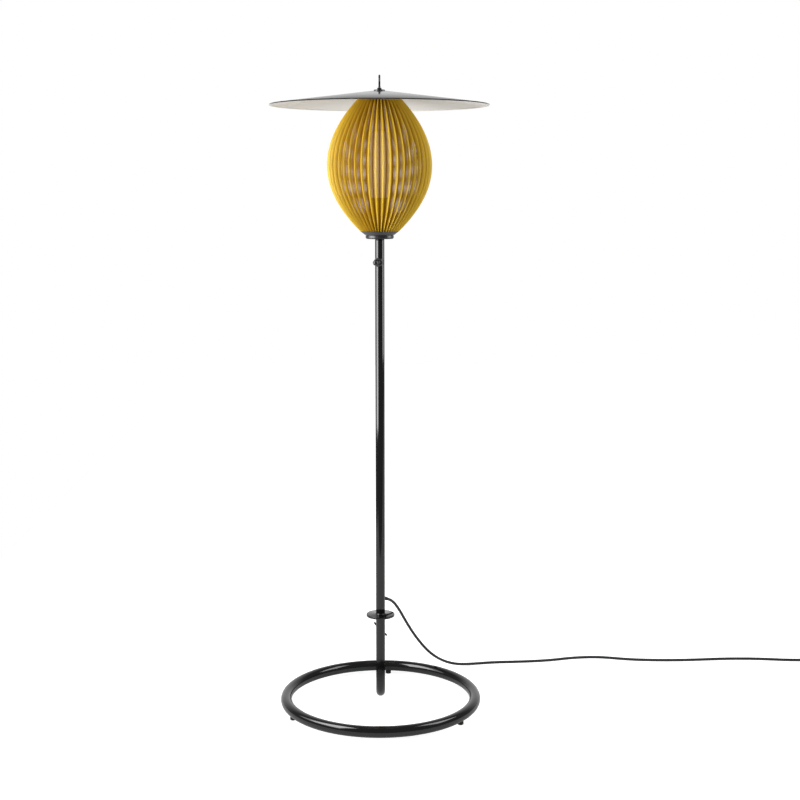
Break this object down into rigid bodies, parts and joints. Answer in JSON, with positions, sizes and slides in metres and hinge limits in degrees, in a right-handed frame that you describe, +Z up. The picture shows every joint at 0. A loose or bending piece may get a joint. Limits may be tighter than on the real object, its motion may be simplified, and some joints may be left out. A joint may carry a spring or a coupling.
{
  "type": "outdoor floor lamp",
  "caption": "Outdoor floor lamp: a pleated metal lantern under a wide shallow hat, on a slim pole that is clamped in the stem of a round ring base, with a mains cord.",
  "frame": {"origin": "on the floor under the pole's axis, which is the middle of the ring base and of the hat", "axes": "+Z up along the pole; the front, with the thumb screw, is towards -Y; the stem runs back to the ring along +Y; the cord lies towards +X"},
  "size_m": [1.4484, 0.6191, 1.4007],
  "materials": {
    "gloss_black": "gloss",
    "satin_black": "satin",
    "steel": "satin",
    "cup_grey": "matt",
    "seat_grey": "satin",
    "ochre": "satin",
    "rubber_black": "matt",
    "cord_black": "satin",
    "plug_black": "satin",
    "holder_black": "matt",
    "brass": "satin",
    "nickel": "polished",
    "opal": "satin",
    "carrier_white": "matt"
  },
  "bodies": {
    "base": {"base_ring": "gloss_black", "base_stem": "gloss_black", "foot_rear": "rubber_black", "foot_left": "rubber_black", "foot_right": "rubber_black", "foot_screws": "steel", "clamp_boss": "gloss_black", "cord_lead": "cord_black", "cord_coil": "cord_black", "cord_tie": "cord_black", "plug_body": "plug_black", "plug_pins": "nickel"},
    "wing_screw": {"wing_screw": "satin_black"},
    "pole": {"pole_tube": "gloss_black", "pole_flange": "gloss_black", "pole_spigot": "steel", "cord_gland": "rubber_black", "inner_cable": "cord_black", "thumb_boss": "gloss_black"},
    "thumb_screw": {"thumb_screw": "satin_black"},
    "lantern": {"lantern_spigot": "steel", "lantern_dish": "gloss_black", "base_gasket": "rubber_black", "shade_cup": "cup_grey", "lamp_nipple": "steel", "cup_nut": "steel", "lamp_holder": "holder_black", "holder_shell": "brass", "centre_contact": "brass", "holder_seal": "rubber_black", "shade_seat": "seat_grey", "top_seat": "seat_grey", "shade_front_right": "ochre", "shade_rear_right": "ochre", "shade_rear_left": "ochre", "shade_front_left": "ochre"},
    "lamp": {"lamp_glass": "opal", "lamp_cap": "nickel", "led_carrier": "carrier_white"},
    "hat": {"hat": "satin_black", "top_cap": "satin_black", "hat_spacer": "satin_black", "hat_washer": "satin_black", "cap_nut": "steel"},
    "eye": {"hanging_eye": "satin_black", "eye_nut": "satin_black"}
  },
  "joints": [
    {"name": "pole_height", "type": "slide", "parent": "base", "child": "pole", "axis": [0, 0, 1], "range_m": [0, 0.07], "deforming": ["cord_lead"]},
    {"name": "wing_screw_turn", "type": "hinge", "parent": "base", "child": "wing_screw", "pos_m": [0, 0.02, 0.168], "axis": [0, 1, 0], "range_deg": [0, 720]},
    {"name": "thumb_screw_turn", "type": "hinge", "parent": "pole", "child": "thumb_screw", "pos_m": [0, 0, 1.003], "axis": [-0.2419, -0.9703, 0], "range_deg": [0, 720]},
    {"name": "lantern_turn", "type": "hinge", "parent": "pole", "child": "lantern", "pos_m": [0, 0, 1.053], "axis": [0, 0, 1], "range_deg": [-180, 180]},
    {"name": "lamp_turn", "type": "hinge", "parent": "lantern", "child": "lamp", "pos_m": [0, 0, 1.12], "axis": [0, 0, 1], "range_deg": [0, 900]},
    {"name": "hat_lift", "type": "slide", "parent": "lantern", "child": "hat", "axis": [0, 0, 1], "range_m": [0, 0.18]},
    {"name": "eye_turn", "type": "hinge", "parent": "hat", "child": "eye", "pos_m": [0, 0, 1.37], "axis": [0, 0, 1], "range_deg": [0, 720]}
  ]
}
